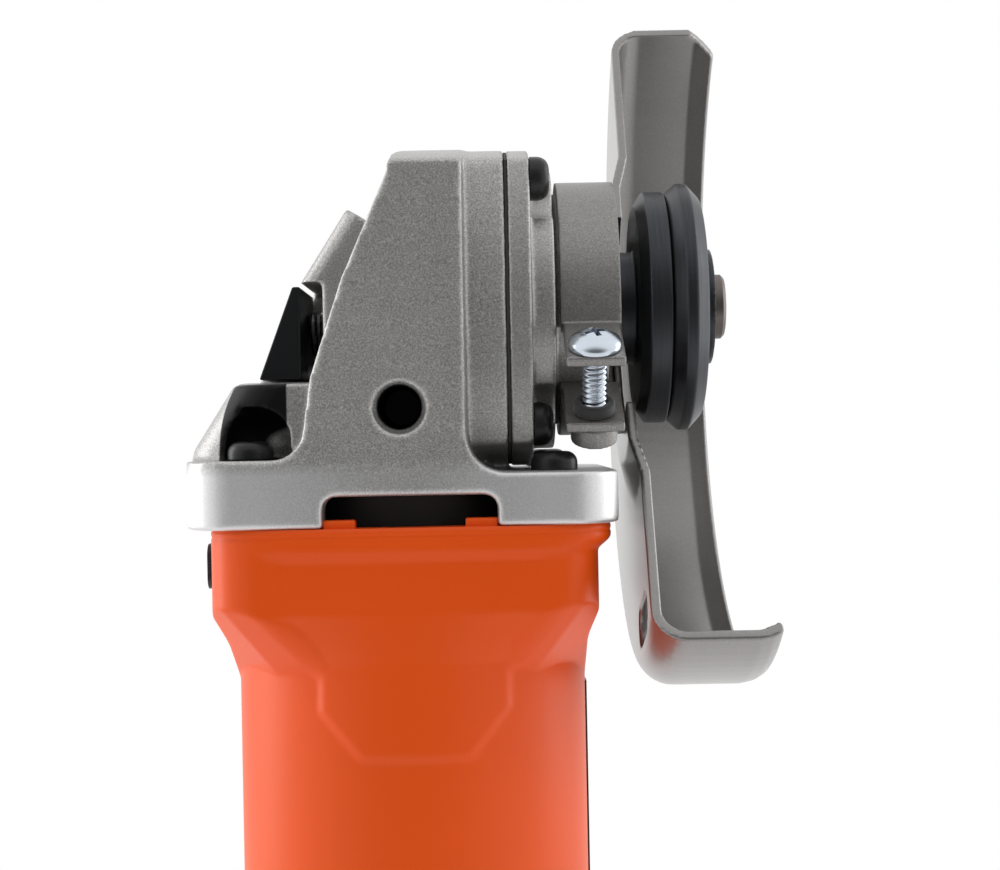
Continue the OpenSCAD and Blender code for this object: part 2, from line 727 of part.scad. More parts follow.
// A coil spring between the button and the bottom of its recess.
module lock_spring() color("#9a9ba0") {
    wire_r = 0.45;
    coil_r = 3.4;
    turns = 3;
    steps = 12 * turns;
    length = recess_x - button_back - 2 * wire_r - 0.1;
    centre = [button_back + wire_r + 0.05, 0, -3.4];
    rings = [for (i = [0 : steps]) let (a = 360 * turns * i / steps)
        [for (j = [0 : 5]) let (b = 60 * j, r = coil_r + wire_r * cos(b))
            centre + [length * i / steps + wire_r * sin(b), r * cos(a), r * sin(a)]]];
    pts = [for (ring = rings) each ring];
    last = 6 * steps;
    at_head() polyhedron(pts, concat(
        [[0, 1, 2, 3, 4, 5]],
        [[last + 5, last + 4, last + 3, last + 2, last + 1, last]],
        [for (i = [0 : steps - 1], j = [0 : 5]) let (k = (j + 1) % 6)
            [6 * i + j, 6 * i + 6 + j, 6 * i + 6 + k, 6 * i + k]]));
}

// ---- Motor housing ----

module motor_housing() color("#e0551f") difference() {
    union() {
        motor_rod(joint_z - motor_len, joint_z - flare_depth + 1, grip_r);
        hull() {
            round_block(2 * flange_half_y, 2 * flange_half_y, flange_corner,
                joint_z - collar_depth - 0.1, joint_z - collar_depth + 0.1, $fn = 32);
            motor_rod(joint_z - flare_depth, joint_z - flare_depth + 0.2, grip_r, $fn = 64);
        }
        round_block(2 * flange_half_y, 2 * flange_half_y, flange_corner, joint_z - collar_depth, joint_z);
        // Lip on the wheel side of the joint
        translate([flange_half_y - 9, 0, 0])
            round_block(22, 2 * flange_half_y - 1, flange_corner - 0.5, joint_z - 2, joint_z);
        // Tabs in the corners of the exhaust windows
        for (s = [-1, 1], t = [-1, 1])
            translate([window_x + t * (window_half - tab_w / 2 - part_gap / 2), s * (flange_half_y - 2.5), joint_z])
                cube([tab_w, 3, 2 * tab_h], center = true);
    }
    // Motor cavity, in front of and behind the spider
    motor_rod(spider_z + 9.8, joint_z + 1, cavity_r);
    motor_rod(joint_z - motor_len - 1, spider_z, cavity_r);
    motor_rod(spider_z - 1, spider_z + 11, rear_bearing_r + 1.5);
    // Air holes through the spider
    for (i = [0 : 7]) rotate([0, 0, 45 * i + 22.5]) translate([19.6, 0, spider_z - 1]) cylinder(h = 12, r = 4.6);
    // Slot for the slide switch, and the rod's way through the spider
    translate([-3.6, cavity_r - 3, knob_z + 4]) cube([7.2, 8, 14 + switch_travel]);
    translate([-3.6, rod_in - part_gap, spider_z - 1]) cube([7.2, cavity_r - rod_in, 12]);
    // Brush cap holes
    for (s = [-1, 1]) translate([0, 0, commutator_z + commutator_len / 2]) rotate([0, s * 90, 0])
        cylinder(h = 40, r = 7);
    // Flange screw holes
    four(flange_screw_x, flange_screw_y) translate([0, 0, joint_z - 12]) cylinder(h = 14, r = 2.05);
}

module flange_screws() color("#1c1c1e") at_head() for (sx = [-1, 1], sy = [-1, 1]) {
    top = sx < 0 ? left_top : flange_top;
    translate([sx * flange_screw_x, sy * flange_screw_y, top])
        pan_screw(3.7, 3, 2, top + head_drop + 11.5);
}

module fan_baffle() color("#161618") {
    difference() {
        union() {
            motor_rod(joint_z - 4, joint_z - 2.2, cavity_r - seat_gap);
            motor_tube(joint_z - 2.4, joint_z + window_h - 0.3, fan_r - 1.5, fan_r - 4);
        }
        motor_rod(joint_z - 6, joint_z + window_h + 1, 18.2);
    }
}

module bearing_plate() color("#77787c") difference() {
    motor_rod(joint_z, joint_z + 1.6, 17);
    motor_rod(joint_z - 1, joint_z + 2, front_bearing_r - 3.4);
}

// ---- Motor ----

module stator_core() color("#5f6063") difference() {
    intersection() {
        motor_rod(stator_top - stator_len, stator_top, cavity_r - seat_gap);
        translate([-40, -stator_flat, stator_top - stator_len - 1]) cube([80, 2 * stator_flat, stator_len + 2]);
    }
    motor_rod(stator_top - stator_len - 1, stator_top + 1, armature_r + air_gap);
    // Windows for the field coils beside the two poles
    difference() {
        intersection() {
            motor_tube(stator_top - stator_len - 1, stator_top + 1, cavity_r - 3.2, armature_r + air_gap + 2.6);
            translate([-40, 3.2 - stator_flat, stator_top - stator_len - 1])
                cube([80, 2 * stator_flat - 6.4, stator_len + 2]);
        }
        translate([-40, -8, stator_top - stator_len - 1]) cube([80, 16, stator_len + 2]);
    }
    translate([-8, -stator_flat + 3.2, stator_top - stator_len - 1])
        cube([16, 2 * stator_flat - 6.4, stator_len + 2]);
}

module field_coils() color("#a5562c") for (s = [-1, 1]) intersection() {
    difference() {
        translate([s * 20.7, 0, stator_top - stator_len / 2]) rotate([0, 90, 0])
            linear_extrude(4.2, center = true) round_rect(stator_len + 14, 32, 6);
        translate([s * 20.7, 0, stator_top - stator_len / 2])
            cube([8, 16.2, stator_len + 0.4], center = true);
    }
    motor_tube(stator_top - stator_len - 10, stator_top + 10, cavity_r - 3.3, armature_r + air_gap + 2.7);
}

module armature_shaft() color("#b4b5b8") {
    motor_rod(rear_bearing_z - 1, rear_bearing_z + rear_bearing_w + 1, shaft_tail_r);
    motor_rod(rear_bearing_z + rear_bearing_w, front_bearing_z, shaft_r + 0.5);
    motor_rod(front_bearing_z - eps, front_bearing_z + front_bearing_w, shaft_r);
    motor_rod(front_bearing_z + front_bearing_w - eps, spindle_z - gear_pitch_r * inner_share - 0.6, 3.2);
}

module armature_core() color("#6a6b6e") difference() {
    motor_rod(stator_top - stator_len + 1, stator_top - 1, armature_r);
    motor_rod(stator_top - stator_len, stator_top, shaft_r + 0.5);
    for (i = [0 : 11]) rotate([0, 0, 30 * i]) translate([armature_r - 3.4, -1.1, stator_top - stator_len])
        cube([5, 2.2, stator_len]);
}

module armature_windings() color("#b8622d") {
    for (z = [stator_top - stator_len - 7, stator_top - 1]) difference() {
        translate([0, 0, z]) rotate_extrude() polygon(concat(
            [[shaft_r + 0.5, 0]], arc(armature_r - 3, 2, 2, 270, 360, 4), arc(armature_r - 3, 6, 2, 0, 90, 4),
            [[shaft_r + 0.5, 8]]));
    }
}

module commutator() color("#b87440") difference() {
    motor_rod(commutator_z, commutator_z + commutator_len, commutator_r);
    motor_rod(commutator_z - 1, commutator_z + commutator_len + 1, shaft_r + 0.5);
    for (i = [0 : 23]) rotate([0, 0, 15 * i]) translate([commutator_r - 0.8, -0.25, commutator_z - 1])
        cube([2, 0.5, commutator_len + 2]);
}

module fan() color("#1b1b1d") difference() {
    union() {
        motor_rod(fan_z, fan_z + 1.6, fan_r);
        motor_rod(fan_z, fan_z + 9, 9);
        for (i = [0 : fan_blades - 1]) rotate([0, 0, 360 * i / fan_blades])
            translate([8.5, -0.7, fan_z + 1.5]) cube([fan_r - 9, 1.4, 7.5]);
    }
    motor_rod(fan_z - 1, fan_z + 10, shaft_r + 0.5);
}

module pinion() color("#85868a") translate([0, 0, spindle_z]) mirror([0, 0, 1]) union() {
    bevel_gear(pinion_teeth, pinion_pitch_r, gear_pitch_r, -pinion_back, 3.2, 6.2, 180 / pinion_teeth);
}

front_pitch_r = (front_bearing_r + shaft_r) / 2;
front_ball_r = (front_bearing_r - shaft_r) * 0.29;
rear_pitch_r = (rear_bearing_r + shaft_tail_r) / 2;
rear_ball_r = (rear_bearing_r - shaft_tail_r) * 0.29;

module front_bearing_outer() color("#c6c7ca") translate([0, 0, front_bearing_z])
    bearing_ring(front_pitch_r + 1.7, front_bearing_r, front_bearing_w, front_pitch_r, front_ball_r);

module front_bearing_inner() color("#c6c7ca") translate([0, 0, front_bearing_z])
    bearing_ring(shaft_r, front_pitch_r - 1.7, front_bearing_w, front_pitch_r, front_ball_r);

module front_bearing_balls() color("#dddee0") translate([0, 0, front_bearing_z])
    bearing_balls(front_bearing_w, front_pitch_r, front_ball_r);

module rear_bearing_outer() color("#c6c7ca") translate([0, 0, rear_bearing_z])
    bearing_ring(rear_pitch_r + 1.5, rear_bearing_r, rear_bearing_w, rear_pitch_r, rear_ball_r);

module rear_bearing_inner() color("#c6c7ca") translate([0, 0, rear_bearing_z])
    bearing_ring(shaft_tail_r, rear_pitch_r - 1.5, rear_bearing_w, rear_pitch_r, rear_ball_r);

module rear_bearing_balls() color("#dddee0") translate([0, 0, rear_bearing_z])
    bearing_balls(rear_bearing_w, rear_pitch_r, rear_ball_r);

module bearing_boot() color("#202022")
    motor_tube(rear_bearing_z - 0.5, rear_bearing_z + rear_bearing_w + 0.5, rear_bearing_r + 1.5, rear_bearing_r);

// Repeats children on the two sides where the brushes bear on the commutator, with +Z pointing outward.
module each_brush() {
    for (s = [-1, 1]) translate([0, 0, commutator_z + commutator_len / 2]) rotate([0, s * 90, 0]) children();
}

module brush_holders() color("#b48d45") each_brush() difference() {
    translate([0, 0, commutator_r + 2]) cylinder(h = cavity_r - commutator_r - 4, r = 6.9);
    translate([-3.6, -2.6, commutator_r]) cube([7.2, 5.2, 30]);
}

module carbon_brushes() color("#303032") each_brush()
    translate([-3.5, -2.5, commutator_r + 0.1]) cube([7, 5, 10]);

module brush_springs() color("#a0a1a5") each_brush() difference() {
    translate([0, 0, commutator_r + 10.1]) cylinder(h = cavity_r - commutator_r - 12.1, r = 2.2);
    translate([0, 0, commutator_r + 9]) cylinder(h = 30, r = 1.6);
}

module brush_caps() color("#1b1b1d") each_brush() difference() {
    translate([0, 0, cavity_r - 2]) cylinder(h = shell_wall + 1.4, r = 6.9);
    translate([0, 0, cavity_r + shell_wall - 0.4]) cube([10, 1.4, 2.4], center = true);
}

// ---- Switch ----

module switch_knob() color("#141416") difference() {
    union() {
        intersection() {
            translate([0, knob_in, knob_z]) rotate([-90, 0, 0]) translate([0, -knob_len / 2, 0])
                linear_extrude(4.2) round_rect(knob_w, knob_len, 4);
            motor_rod(knob_z - 1, knob_z + knob_len + 1, knob_in + 4);
        }
        translate([-3.2, rod_out, knob_z + 4.4]) cube([6.4, knob_in - rod_out + eps, 13.2]);
    }
    for (i = [0 : 5]) translate([-10, knob_in + 4.4, knob_z + 7 + 3 * i]) rotate([0, 90, 0]) cylinder(h = 20, r = 1);
}

module switch_rod() color("#8b8d92") {
    translate([-3.2, rod_in, lever_z]) cube([6.4, rod_out - rod_in, knob_z + 18 - lever_z]);
}

module switch_lever() color("#26262a") {
    translate([-3.2, 13.3, lever_z]) cube([6.4, rod_in - 13.3, 6]);
}

module switch_body() color("#2c2d31") difference() {
    translate([-9, -5, switch_z]) cube([18, 18, 33]);
    translate([-3, 10.5, switch_z + 8]) cube([6, 3, 20]);
}

module capacitor() color("#a7a26a") translate([-7, -16, switch_z + 4]) cube([14, 7, 18]);

module terminal_block() color("#d9d6cc") difference() {
    translate([-10, -5, switch_z - 18]) cube([20, 10, 12]);
    for (x = [-5, 5]) translate([x, 0, switch_z - 19]) cylinder(h = 14, r = 1.8);
}

// ---- Rear handle ----

// Outer radius of the handle at a share t of its length.
function handle_r(t) = grip_r - 0.6 - waist * pow(sin(180 * t), 2);

// Outline of the handle inset by a wall, radius along x and height along y.
module handle_outline(inset, floor_t, top) {
    steps = 14;
    round_r = 6;
    rows = [for (i = [0 : steps]) let (t = i / steps) [handle_r(t) - inset, t * handle_len]];
    body = [for (p = rows) if (p[1] > round_r + floor_t) p];
    polygon(concat(
        [[0, floor_t]],
        arc(handle_r(0.05) - inset - round_r, floor_t + round_r, round_r, 270, 355, 6),
        body,
        [[handle_r(1) - inset, top], [0, top]]));
}

module handle_shell() {
    boss_z = [14, handle_len - 14];
    difference() {
        union() {
            difference() {
                rotate_extrude() handle_outline(0, 0, handle_len);
                rotate_extrude() handle_outline(shell_wall, 3, handle_len + 1);
            }
            // Spigot that enters the motor housing
            motor_tube(handle_len - 3, handle_len + 3.6, cavity_r - seat_gap, cavity_r - 2);
            motor_tube(handle_len - 3, handle_len - eps, grip_r - 1.6, cavity_r - 2);
            // Screw bosses and the inlet's seat
            intersection() {
                rotate_extrude() handle_outline(0.5, 0.5, handle_len - 1);
                union() {
                    for (s = [-1, 1], z = boss_z) translate([s * 18, 0, z]) rotate([90, 0, 0])
                        cylinder(h = 60, r = 4.2, center = true);
                    motor_rod(0, 12, 9.5);
                }
            }
        }
        // Gland seat
        motor_rod(-1, 13, 6.5);
        motor_rod(4, 8, 8);
        // Screws: shank, and access for the head from one side
        for (s = [-1, 1], z = boss_z) translate([s * 18, 0, z]) rotate([90, 0, 0]) {
            translate([0, 0, -9]) cylinder(h = 17, r = 1.6);
            translate([0, 0, 6]) cylinder(h = 40, r = 3.3);
        }
        // Air inlet slots on both sides
        for (s = [-1, 1], i = [0 : 4]) translate([s * 30, 0, handle_len * 0.34 + 6 * i])
            cube([20, 26, 2.4], center = true);
        // The rod's way past the wall and the spigot
        translate([-3.8, rod_in - part_gap, lever_z - 2])
            cube([7.6, rod_out - rod_in + 2 * part_gap, handle_len - lever_z + 8]);
    }
}

module handle_left() color("#1d1d1f") intersection() {
    handle_shell();
    translate([-50, 0, -1]) cube([100, 50, joint_z]);
}

module handle_right() color("#1d1d1f") intersection() {
    handle_shell();
    translate([-50, -50, -1]) cube([100, 50, joint_z]);
}

module handle_screws() color("#3a3b3e") for (s = [-1, 1], z = [14, handle_len - 14])
    translate([s * 18, -6, z]) rotate([90, 0, 0]) pan_screw(3.1, 2.4, 1.5, 14.5, 0.9);

module cord_gland() color("#161617") difference() {
    union() {
        motor_rod(0, 13, 6.5);
        motor_rod(4, 8, 8);
    }
    motor_rod(-1, 14, inlet_r);
}

module cord_clamp() color("#2a2a2c") difference() {
    translate([-12, -8.5, 15]) cube([24, 4, 8]);
    for (s = [-1, 1]) translate([s * 8.5, -10, 19]) rotate([-90, 0, 0]) cylinder(h = 10, r = 1.5);
}

module cord_clamp_screws() color("#8d8f94") for (s = [-1, 1])
    translate([s * 8.5, -4.5, 19]) rotate([-90, 0, 0]) pan_screw(2.8, 2, 1.5, 4, 0.8);

// ---- Labels ----

module rating_label() color("#2b2b2d") translate([0, 0, joint_z - 70]) rotate([0, 0, -3])
    rotate_extrude(angle = 66) translate([grip_r, 0]) square([0.3, 42]);

module badge() color("#1a1a1b") translate([-flange_half_y, 0, joint_z - 6.2]) rotate([0, -90, 0])
    linear_extrude(0.6) round_rect(7.2, 40, 2);

gear_housing();
gear_case_gasket();
bearing_cover();
cover_screws();
bearing_retainer();
spindle();
crown_gear();
gear_circlip();
spindle_bush();
spindle_bearing_outer();
spindle_bearing_inner();
spindle_bearing_balls();
spindle_seal();
inner_flange();
lock_nut();
wheel_guard();
guard_band();
clamp_screw();
clamp_ring();
lock_button();
lock_pin();
lock_spring();
motor_housing();
flange_screws();
fan_baffle();
bearing_plate();
stator_core();
field_coils();
armature_shaft();
armature_core();
armature_windings();
commutator();
fan();
pinion();
front_bearing_outer();
front_bearing_inner();
front_bearing_balls();
rear_bearing_outer();
rear_bearing_inner();
rear_bearing_balls();
bearing_boot();
brush_holders();
carbon_brushes();
brush_springs();
brush_caps();
switch_knob();
switch_rod();
switch_lever();
switch_body();
capacitor();
terminal_block();
handle_left();
handle_right();
handle_screws();
cord_gland();
cord_clamp();
cord_clamp_screws();
rating_label();
badge();
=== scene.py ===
"""The looks of the angle grinder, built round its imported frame. Lengths are in metres."""
import json
import math

import bpy
import numpy as np
from mathutils import Matrix, Vector


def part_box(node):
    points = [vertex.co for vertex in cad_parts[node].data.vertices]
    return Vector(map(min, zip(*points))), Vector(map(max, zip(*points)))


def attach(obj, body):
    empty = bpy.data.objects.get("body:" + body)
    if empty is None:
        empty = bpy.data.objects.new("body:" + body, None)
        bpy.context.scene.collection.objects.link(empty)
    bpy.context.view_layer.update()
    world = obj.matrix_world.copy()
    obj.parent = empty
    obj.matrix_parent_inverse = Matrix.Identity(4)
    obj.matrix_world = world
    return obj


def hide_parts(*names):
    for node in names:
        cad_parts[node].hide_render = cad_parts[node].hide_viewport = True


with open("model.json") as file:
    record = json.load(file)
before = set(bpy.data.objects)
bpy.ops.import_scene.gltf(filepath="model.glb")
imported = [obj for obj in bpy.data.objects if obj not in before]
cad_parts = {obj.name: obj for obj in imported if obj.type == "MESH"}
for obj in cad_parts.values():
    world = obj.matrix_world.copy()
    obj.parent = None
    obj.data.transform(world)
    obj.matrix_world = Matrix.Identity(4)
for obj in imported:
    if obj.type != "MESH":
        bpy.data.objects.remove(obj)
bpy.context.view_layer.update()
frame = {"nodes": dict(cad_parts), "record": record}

MM = 0.001

# ---- Driving places, read from the frame ----

JOINTS = {j["name"]: j for j in frame["record"]["behaviour"]["joints"]}
SPINDLE_Z = JOINTS["spindle_spin"]["pos_m"][2]
JOINT_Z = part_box("bearing_plate")[0][2]
HOUSING_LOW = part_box("motor_housing")[0][2]
CLAMP_AXIS = Vector(JOINTS["clamp_screw_turn"]["axis"])
CLAMP_POS = Vector(JOINTS["clamp_screw_turn"]["pos_m"])


def clamp_frame():
    """Local +Z runs along the clamp screw to its head, and local +X along the spindle."""
    z = CLAMP_AXIS.normalized()
    x = Vector((1, 0, 0))
    y = z.cross(x)
    m = Matrix((x, y, z)).transposed().to_4x4()
    m.translation = CLAMP_POS
    return m


# ---- Node materials ----

def new_material(name):
    mat = bpy.data.materials.new(name)
    mat.use_nodes = True
    nodes = mat.node_tree.nodes
    return mat, nodes, mat.node_tree.links, nodes["Principled BSDF"]


def noise(nodes, links, coords, scale, detail=3.0, rough=0.6):
    n = nodes.new("ShaderNodeTexNoise")
    n.inputs["Scale"].default_value = scale
    n.inputs["Detail"].default_value = detail
    n.inputs["Roughness"].default_value = rough
    links.new(coords, n.inputs["Vector"])
    return n.outputs["Fac"]


def ramp(nodes, links, fac, stops):
    """A colour ramp. stops are (position, (r, g, b))."""
    r = nodes.new("ShaderNodeValToRGB")
    els = r.color_ramp.elements
    while len(els) < len(stops):
        els.new(0.5)
    for el, (pos, rgb) in zip(els, stops):
        el.position = pos
        el.color = (*rgb, 1)
    links.new(fac, r.inputs["Fac"])
    return r.outputs["Color"]


def mapped(nodes, links, fac, low, high, from_low=0.0, from_high=1.0):
    m = nodes.new("ShaderNodeMapRange")
    m.inputs["From Min"].default_value = from_low
    m.inputs["From Max"].default_value = from_high
    m.inputs["To Min"].default_value = low
    m.inputs["To Max"].default_value = high
    links.new(fac, m.inputs["Value"])
    return m.outputs["Result"]


def bump(nodes, links, bsdf, height, strength, distance):
    b = nodes.new("ShaderNodeBump")
    b.inputs["Strength"].default_value = strength
    b.inputs["Distance"].default_value = distance
    links.new(height, b.inputs["Height"])
    links.new(b.outputs["Normal"], bsdf.inputs["Normal"])


def mixed(nodes, links, fac, a, rgb):
    """Colour a, turned into the plain colour rgb where fac is 1."""
    m = nodes.new("ShaderNodeMix")
    m.data_type = "RGBA"
    links.new(fac, m.inputs["Factor"])
    links.new(a, m.inputs["A"])
    m.inputs["B"].default_value = (*rgb, 1)
    return m.outputs["Result"]


def shade(rgb, k):
    return tuple(min(1.0, c * k) for c in rgb)


def math_node(nodes, links, operation, a, b=None):
    m = nodes.new("ShaderNodeMath")
    m.operation = operation
    links.new(a, m.inputs[0])
    if b is not None:
        links.new(b, m.inputs[1])
    return m.outputs[0]


# Painted shade: a near-black colour laid into the screw pockets and the side-handle hole, where shade
# falls.
HOLLOW_SHADE = (0.012, 0.012, 0.013)
SOFT_EDGE = 0.1 * MM


def near_axes(nodes, links, coords, spots):
    """1 inside any of the pits, where shade is painted in, 0 outside. spots are (centre, across, low,
    high, radius) in metres.

    across masks the two axes of the pit's round section, and low and high bound it along z.
    """
    split = nodes.new("ShaderNodeSeparateXYZ")
    links.new(coords, split.inputs[0])
    total = None
    for centre, across, low, high, radius in spots:
        flat = nodes.new("ShaderNodeVectorMath")
        flat.operation = "MULTIPLY_ADD"
        flat.inputs[1].default_value = across
        flat.inputs[2].default_value = tuple(-c * m for c, m in zip(centre, across))
        links.new(coords, flat.inputs[0])
        length = nodes.new("ShaderNodeVectorMath")
        length.operation = "LENGTH"
        links.new(flat.outputs["Vector"], length.inputs[0])
        inside = mapped(nodes, links, length.outputs["Value"], 1, 0,
                        radius - SOFT_EDGE, radius + 1.5 * SOFT_EDGE)
        z = split.outputs["Z"]
        for factor in (mapped(nodes, links, z, 0, 1, low - SOFT_EDGE, low + SOFT_EDGE),
                       mapped(nodes, links, z, 1, 0, high - SOFT_EDGE, high + SOFT_EDGE)):
            inside = math_node(nodes, links, "MULTIPLY", inside, factor)
        total = inside if total is None else math_node(nodes, links, "MAXIMUM", total, inside)
    return total


def painted_flange_light(nodes, links, coords, colour, band):
    """Painted highlight: makes the coat paler below a height, most of all at both ends, standing in for
    light falling on the flange. band is (height, half length).
    """
    height, half = band
    split = nodes.new("ShaderNodeSeparateXYZ")
    links.new(coords, split.inputs[0])
    below = mapped(nodes, links, split.outputs["Z"], 1, 0, height - PAINTED_LIGHT_FADE, height + PAINTED_LIGHT_FADE)
    off = math_node(nodes, links, "ABSOLUTE", split.outputs["X"])
    ends = mapped(nodes, links, off, *PAINTED_LIGHT_SHARES, 0.1 * half, 0.75 * half)
    return mixed(nodes, links, math_node(nodes, links, "MULTIPLY", below, ends), colour, PAINTED_LIGHT_TINT)


# Painted highlight: the paler colour of the lit flange band.
PAINTED_LIGHT_TINT = (0.86, 0.86, 0.87)
PAINTED_LIGHT_FADE = 1.2 * MM
PAINTED_LIGHT_SHARES = (0.2, 0.7)


def coated(name, rgb, metallic, rough, speckle, grain_scale=3800, bump_mm=0.02,
           painted_shade_spots=None, painted_light_band=None):
    """A fine speckled coat with broad mottling, and with painted shade in the pits and a painted
    highlight band where given.
    """
    mat, nodes, links, bsdf = new_material(name)
    obj = nodes.new("ShaderNodeTexCoord").outputs["Object"]
    grain = noise(nodes, links, obj, grain_scale, 2.0, 0.8)
    broad = noise(nodes, links, obj, 45, 4.0, 0.55)
    speck = ramp(nodes, links, grain, [(0.30, shade(rgb, 1 - speckle)), (0.52, rgb),
                                       (0.72, shade(rgb, 1 + speckle * 1.3))])
    tone = ramp(nodes, links, broad, [(0.3, (0.90, 0.90, 0.90)), (0.7, (1.05, 1.045, 1.04))])
    mul = nodes.new("ShaderNodeMix")
    mul.data_type = "RGBA"
    mul.blend_type = "MULTIPLY"
    mul.inputs["Factor"].default_value = 1
    links.new(speck, mul.inputs["A"])
    links.new(tone, mul.inputs["B"])
    colour = mul.outputs["Result"]
    # Painted highlight: a paler band on the flange.
    if painted_light_band:
        colour = painted_flange_light(nodes, links, obj, colour, painted_light_band)
    # Painted shade darkens the pits.
    if painted_shade_spots:
        colour = mixed(nodes, links, near_axes(nodes, links, obj, painted_shade_spots), colour, HOLLOW_SHADE)
    links.new(colour, bsdf.inputs["Base Color"])
    bsdf.inputs["Metallic"].default_value = metallic
    links.new(mapped(nodes, links, grain, rough - 0.08, rough + 0.1), bsdf.inputs["Roughness"])
    bump(nodes, links, bsdf, grain, 0.5, bump_mm * MM)
    return mat


def moulded(name, rgb, rough, grain_scale=2600, bump_mm=0.03, sheen=0.0, spread=0.05, gloss=0.5):
    """Moulded plastic or rubber with a fine spark-eroded grain."""
    mat, nodes, links, bsdf = new_material(name)
    obj = nodes.new("ShaderNodeTexCoord").outputs["Object"]
    grain = noise(nodes, links, obj, grain_scale, 3.0, 0.7)
    broad = noise(nodes, links, obj, 30, 3.0, 0.5)
    col = ramp(nodes, links, broad, [(0.3, shade(rgb, 1 - spread)), (0.7, shade(rgb, 1 + spread))])
    links.new(col, bsdf.inputs["Base Color"])
    links.new(mapped(nodes, links, grain, rough - 0.06, rough + 0.08), bsdf.inputs["Roughness"])
    bsdf.inputs["Sheen Weight"].default_value = sheen
    bsdf.inputs["Specular IOR Level"].default_value = gloss
    bump(nodes, links, bsdf, grain, 0.45, bump_mm * MM)
    return mat


def turned(name, rgb, rough, axis, ring_scale=2600, contrast=0.12):
    """Turned or ground metal: fine rings across the given axis, with a soft uneven tone."""
    mat, nodes, links, bsdf = new_material(name)
    obj = nodes.new("ShaderNodeTexCoord").outputs["Object"]
    stretch = nodes.new("ShaderNodeMapping")
    stretch.inputs["Scale"].default_value = tuple(1.0 if i == axis else 0.03 for i in range(3))
    links.new(obj, stretch.inputs["Vector"])
    rings = noise(nodes, links, stretch.outputs["Vector"], ring_scale, 2.0, 0.7)
    broad = noise(nodes, links, obj, 160, 4.0, 0.6)
    col = ramp(nodes, links, rings, [(0.3, shade(rgb, 1 - contrast)), (0.7, shade(rgb, 1 + contrast))])
    links.new(col, bsdf.inputs["Base Color"])
    bsdf.inputs["Metallic"].default_value = 1.0
    links.new(mapped(nodes, links, broad, rough - 0.07, rough + 0.1), bsdf.inputs["Roughness"])
    bump(nodes, links, bsdf, rings, 0.3, 0.01 * MM)
    return mat


SCREW_LOW, SCREW_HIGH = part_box("flange_screws")
HEAD_TO_POCKET_X = 4.2 * MM
HEAD_TO_POCKET_Y = 3.6 * MM
POCKET_X = SCREW_LOW[0] + HEAD_TO_POCKET_X
POCKET_Y = SCREW_HIGH[1] - HEAD_TO_POCKET_Y
POCKET_R = 5.45 * MM
POCKET_LOW = JOINT_Z + 9 * MM
POCKET_HIGH = POCKET_LOW + 16 * MM
HANDLE_HOLE_Z = SPINDLE_Z - 16.6 * MM
HANDLE_HOLE_R = 3.5 * MM
HANDLE_HOLE_REACH = 5 * MM
FLANGE_HEIGHT = 9.5 * MM
FLANGE_HALF = 30 * MM
# Pits that get painted shade: the flange screw pockets and the side-handle hole.
SHADED_HOLLOWS = [((POCKET_X, y, 0), (1, 1, 0), POCKET_LOW, POCKET_HIGH, POCKET_R) for y in (-POCKET_Y, POCKET_Y)]
SHADED_HOLLOWS.append(((0, 0, HANDLE_HOLE_Z), (1, 0, 1),
             HANDLE_HOLE_Z - HANDLE_HOLE_REACH, HANDLE_HOLE_Z + HANDLE_HOLE_REACH, HANDLE_HOLE_R))
# The cast paint gets painted shade in its pits and a painted highlight on its flange band.
CAST = coated("cast_paint", (0.46, 0.455, 0.447), 0.85, 0.44, 0.42, painted_shade_spots=SHADED_HOLLOWS,
              painted_light_band=(JOINT_Z + FLANGE_HEIGHT, FLANGE_HALF))
COVER = coated("cover_paint", (0.44, 0.435, 0.425), 0.85, 0.42, 0.36)
GUARD = coated("guard_paint", (0.27, 0.265, 0.26), 0.8, 0.34, 0.10, 3000, 0.006)
GUARD.node_tree.nodes["Principled BSDF"].inputs["Coat Weight"].default_value = 0.5
GUARD.node_tree.nodes["Principled BSDF"].inputs["Coat Roughness"].default_value = 0.22
BAND = coated("band_paint", (0.28, 0.272, 0.263), 0.8, 0.42, 0.3)
ORANGE = moulded("orange_nylon", (0.87, 0.09, 0.002), 0.42, 2400, 0.02, 0.0, 0.03, 0.3)
BLACK = moulded("black_nylon", (0.018, 0.018, 0.019), 0.5)
BUTTON = moulded("button_black", (0.004, 0.005, 0.006), 0.3, 1500, 0.006)
RUBBER = moulded("black_rubber", (0.014, 0.014, 0.014), 0.7, 1800, 0.03, 0.3)
OXIDE = turned("black_oxide", (0.055, 0.057, 0.063), 0.38, 0, 2200)
WORN_STEEL = turned("worn_steel", (0.17, 0.15, 0.14), 0.42, 0, 1500)
STEEL_X = turned("bright_steel_x", (0.56, 0.56, 0.57), 0.24, 0)
STEEL_Z = turned("bright_steel_z", (0.56, 0.56, 0.57), 0.26, 2)
GEAR = turned("gear_steel", (0.26, 0.26, 0.28), 0.36, 0, 900)
ZINC = turned("zinc_plate", (0.60, 0.66, 0.73), 0.2, 2, 700, 0.06)
SCREW = coated("black_screw", (0.022, 0.022, 0.023), 0.5, 0.34, 0.3, 3000, 0.01)
BRONZE = turned("bronze", (0.62, 0.40, 0.17), 0.38, 0, 900)
BRASS = turned("brass", (0.72, 0.50, 0.18), 0.28, 0, 900)
LAMINATION = turned("lamination", (0.20, 0.20, 0.21), 0.5, 2, 1800, 0.35)
COPPER = turned("copper_wire", (0.72, 0.30, 0.13), 0.35, 2, 1400, 0.3)
FELT = moulded("felt", (0.10, 0.09, 0.075), 0.95, 1500, 0.2, 0.4, 0.2)
GASKET = moulded("gasket_paper", (0.03, 0.03, 0.028), 0.8)
CARBON = moulded("carbon", (0.03, 0.03, 0.032), 0.55, 2000)
LABEL = moulded("label_film", (0.022, 0.023, 0.026), 0.36, 900, 0.004)
CAPACITOR = moulded("capacitor_film", (0.55, 0.42, 0.10), 0.3, 600, 0.004)
IVORY = moulded("ivory_nylon", (0.72, 0.68, 0.58), 0.45)

